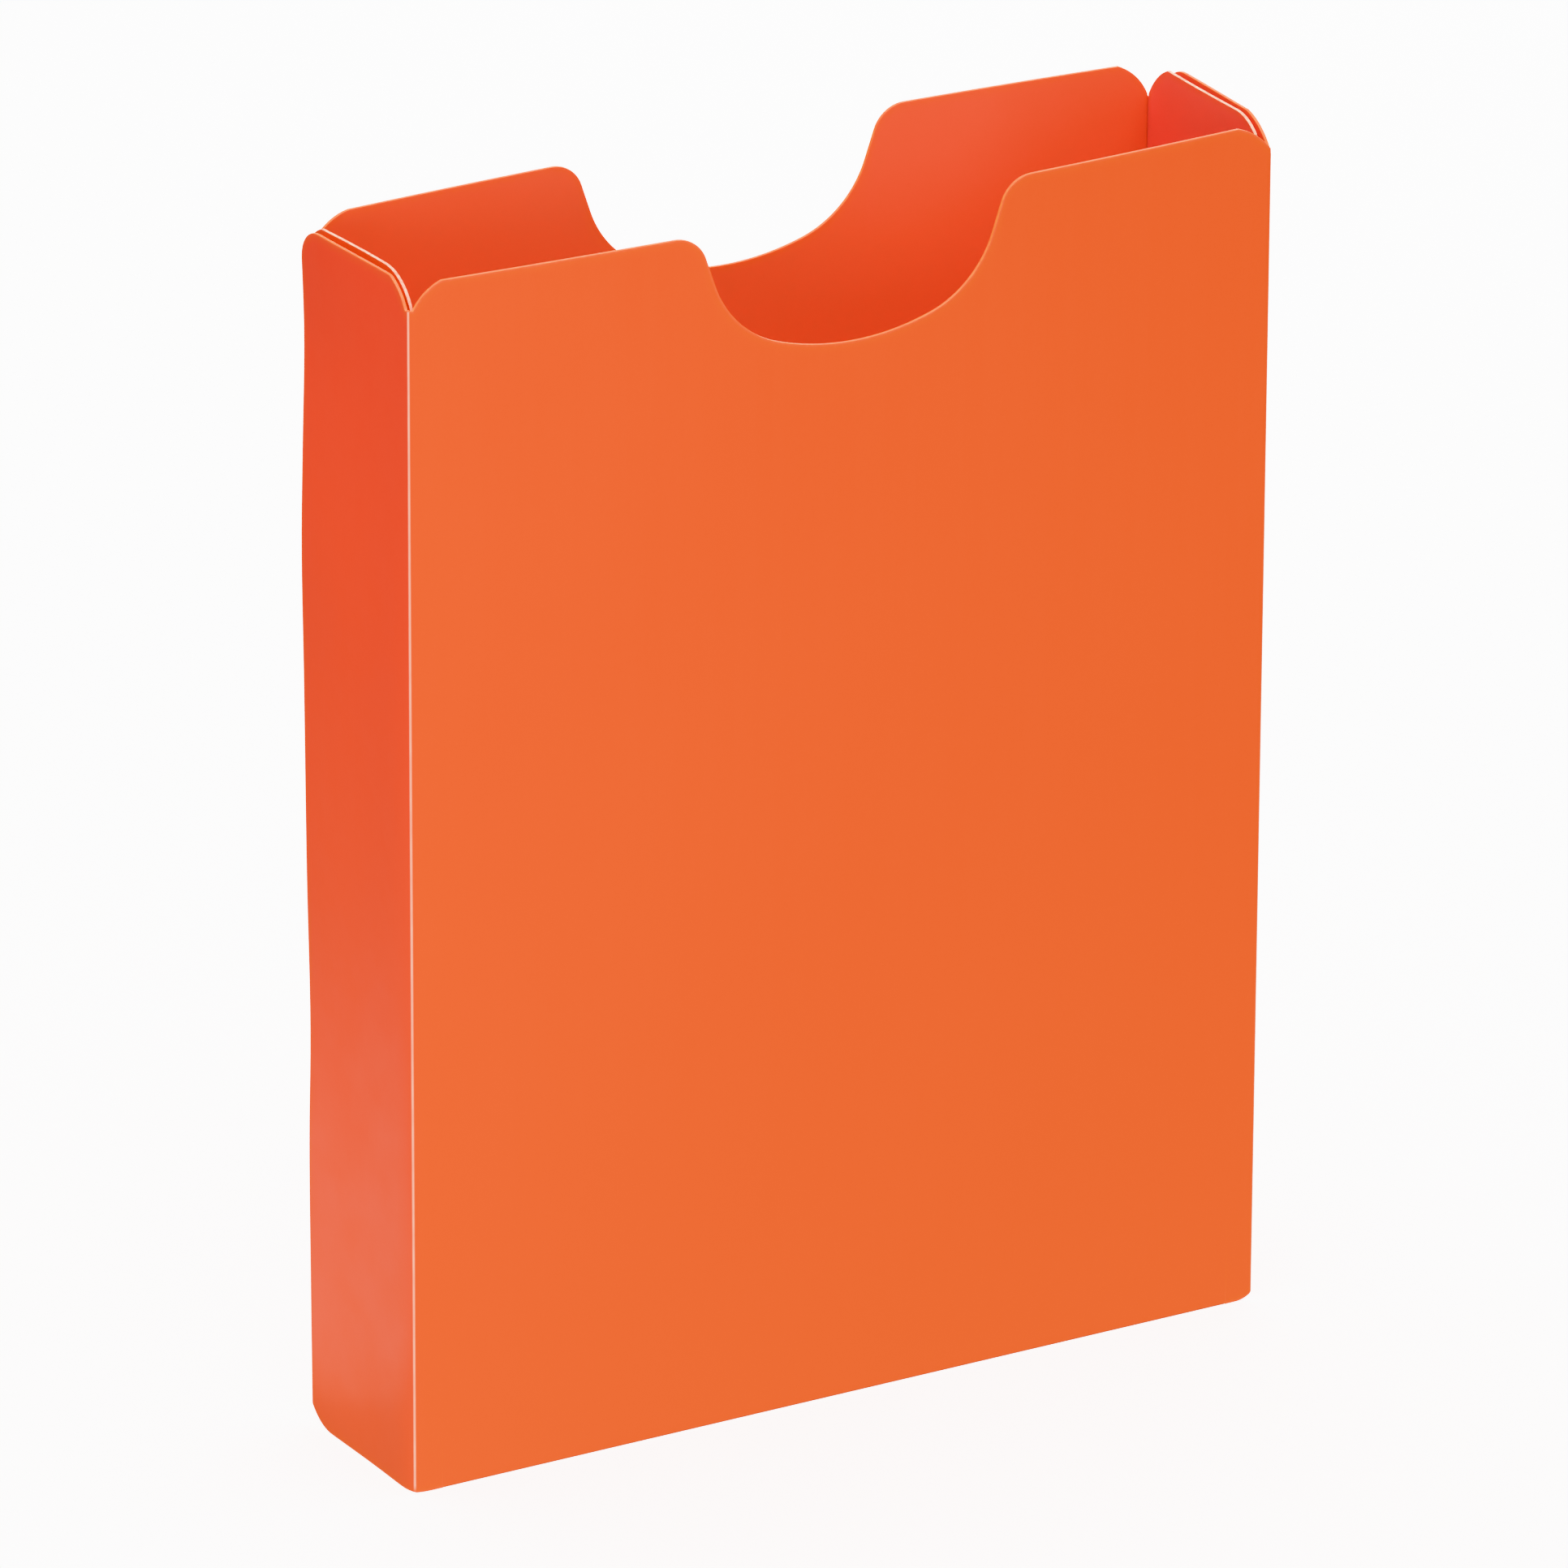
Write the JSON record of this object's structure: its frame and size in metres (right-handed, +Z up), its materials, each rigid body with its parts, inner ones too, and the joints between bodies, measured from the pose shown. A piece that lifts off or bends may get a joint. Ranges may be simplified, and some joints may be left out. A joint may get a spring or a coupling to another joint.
{
  "type": "magazine file holder",
  "caption": "Open-topped upright file box folded from creased plastic sheet, with double ends and a finger cut-out in each wide wall.",
  "frame": {"origin": "middle of the footprint, on the plane the box stands on", "axes": "+Z up through the open mouth, +X along the wide walls, -Y towards the front wall, which carries the outer end flaps"},
  "size_m": [0.245, 0.0638, 0.32],
  "materials": {
    "polypropylene_sheet": "satin",
    "crease": "satin",
    "adhesive": "matte"
  },
  "bodies": {
    "root": {"front_wall": "polypropylene_sheet", "back_wall": "polypropylene_sheet", "base_panel": "polypropylene_sheet", "outer_flap_left": "polypropylene_sheet", "outer_flap_right": "polypropylene_sheet", "inner_flap_left": "polypropylene_sheet", "inner_flap_right": "polypropylene_sheet", "crease_front_left": "crease", "crease_front_right": "crease", "crease_back_left": "crease", "crease_back_right": "crease", "crease_base_front": "crease", "crease_base_back": "crease", "bond_strip_left_front": "adhesive", "bond_strip_left_back": "adhesive", "bond_strip_right_front": "adhesive", "bond_strip_right_back": "adhesive"}
  },
  "joints": []
}
